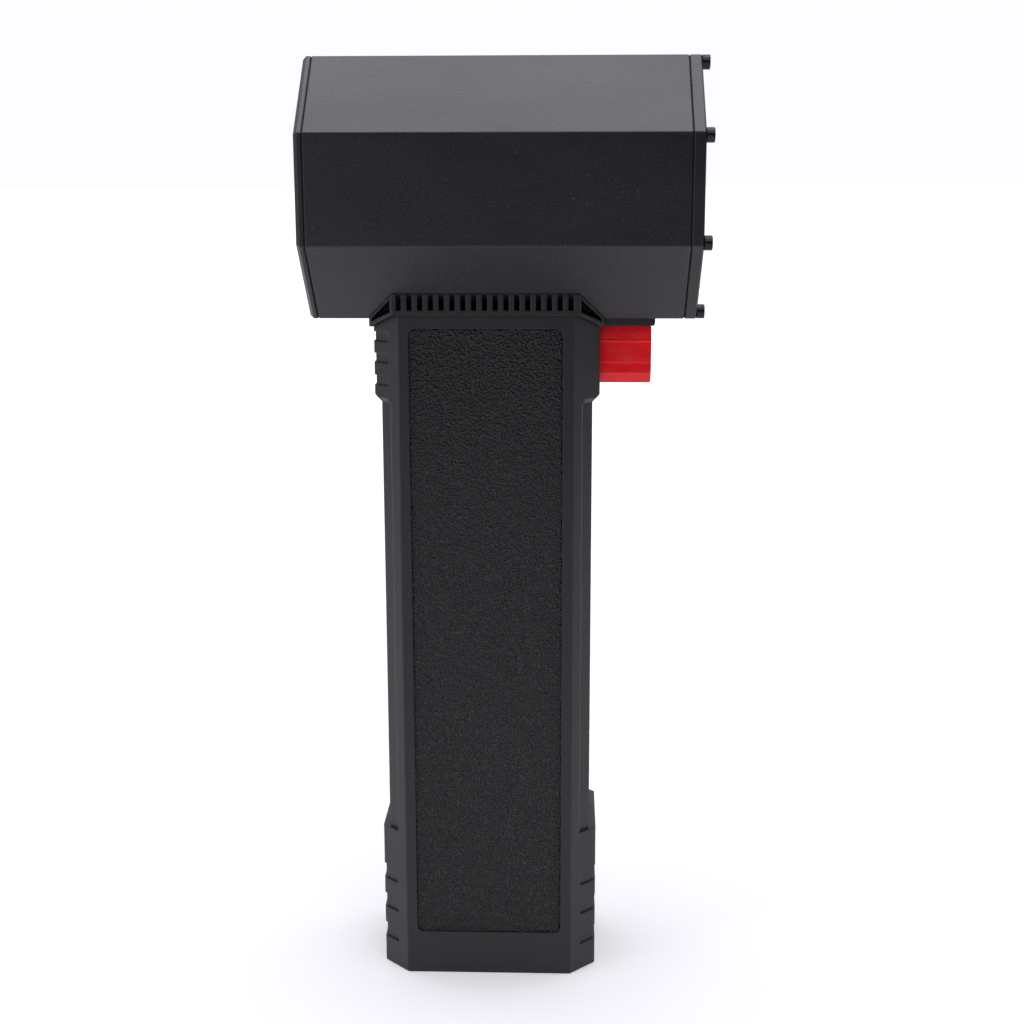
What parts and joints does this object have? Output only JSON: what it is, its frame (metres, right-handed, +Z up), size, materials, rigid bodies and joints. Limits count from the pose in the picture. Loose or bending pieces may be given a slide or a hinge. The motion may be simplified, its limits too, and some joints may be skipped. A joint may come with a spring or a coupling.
{
  "type": "car dryer blower",
  "caption": "Handheld car-drying jet blower: octagonal ducted-fan head on an upright battery handle with leather-grained grips and a red sliding trigger under a hood.",
  "frame": {"origin": "centre of the handle's bottom face, which the tool stands on", "axes": "+Z up along the handle, +X the way the air leaves the head, +Y to the user's left"},
  "size_m": [0.1244, 0.08, 0.3014],
  "materials": {
    "barrel_coat": "satin powder coat, dark grey",
    "ring_coat": "satin powder coat, near black",
    "black_steel": "black oxide",
    "grille_coat": "satin coat",
    "duct_plastic": "moulded",
    "fan_plastic": "glass-filled nylon",
    "bare_alloy": "turned",
    "bright_steel": "ground",
    "magnet": "nickel plated",
    "core_steel": "stacked sheet",
    "copper_wire": "enamelled copper",
    "lead_jacket": "silicone",
    "power_jacket": "silicone",
    "handle_plastic": "fine spark texture",
    "grip_leather": "pebbled grain",
    "trigger_red": "semi gloss",
    "switch_plastic": "moulded",
    "circuit_board": "solder mask",
    "chip_black": "epoxy",
    "capacitor_sleeve": "shrink sleeve",
    "cell_wrap": "shrink sleeve",
    "holder_plastic": "moulded",
    "nickel": "nickel strip"
  },
  "bodies": {
    "housing": {"barrel_casing": "barrel_coat", "intake_ring": "ring_coat", "intake_screws": "black_steel", "intake_grille": "grille_coat", "inlet_lip": "duct_plastic", "outlet_ring": "ring_coat", "outlet_screws": "black_steel", "outlet_liner": "duct_plastic", "fan_shroud": "duct_plastic", "tail_cone": "duct_plastic", "motor_can": "bare_alloy", "motor_end_plate": "bare_alloy", "motor_rear_cap": "bare_alloy", "motor_bearings": "bright_steel", "motor_stator_core": "core_steel", "motor_windings": "copper_wire", "motor_screws": "black_steel", "motor_leads": "lead_jacket", "vent_collar": "handle_plastic", "collar_screws": "black_steel", "handle_shell_right": "handle_plastic", "handle_shell_left": "handle_plastic", "shell_screws": "black_steel", "grip_pad_right": "grip_leather", "grip_pad_left": "grip_leather", "trigger_spring": "bright_steel", "switch_body": "switch_plastic", "switch_leads": "lead_jacket", "controller_board": "circuit_board", "controller_transistors": "chip_black", "controller_heat_sink": "bare_alloy", "controller_capacitors": "capacitor_sleeve", "controller_chips": "chip_black", "battery_cells": "cell_wrap", "cell_holders": "holder_plastic", "nickel_strips": "nickel", "protection_board": "circuit_board", "protection_parts": "chip_black", "charge_jack": "switch_plastic", "power_leads": "power_jacket", "pack_leads": "power_jacket"},
    "rotor": {"fan_rotor": "fan_plastic", "spinner": "bare_alloy", "spinner_screw": "black_steel", "rotor_nut": "bright_steel", "motor_shaft": "bright_steel", "rotor_magnet": "magnet"},
    "trigger_slide": {"trigger": "trigger_red", "switch_plunger": "switch_plastic"}
  },
  "joints": [
    {"name": "fan_spin", "type": "hinge", "parent": "housing", "child": "rotor", "pos_m": [0, 0, 0.2614], "axis": [1, 0, 0], "continuous": true},
    {"name": "trigger_pull", "type": "slide", "parent": "housing", "child": "trigger_slide", "axis": [-1, 0, 0], "range_m": [0, 0.007], "stiffness_N_per_m": 600, "springref_m": -0.006, "deforming": ["trigger_spring"]}
  ]
}
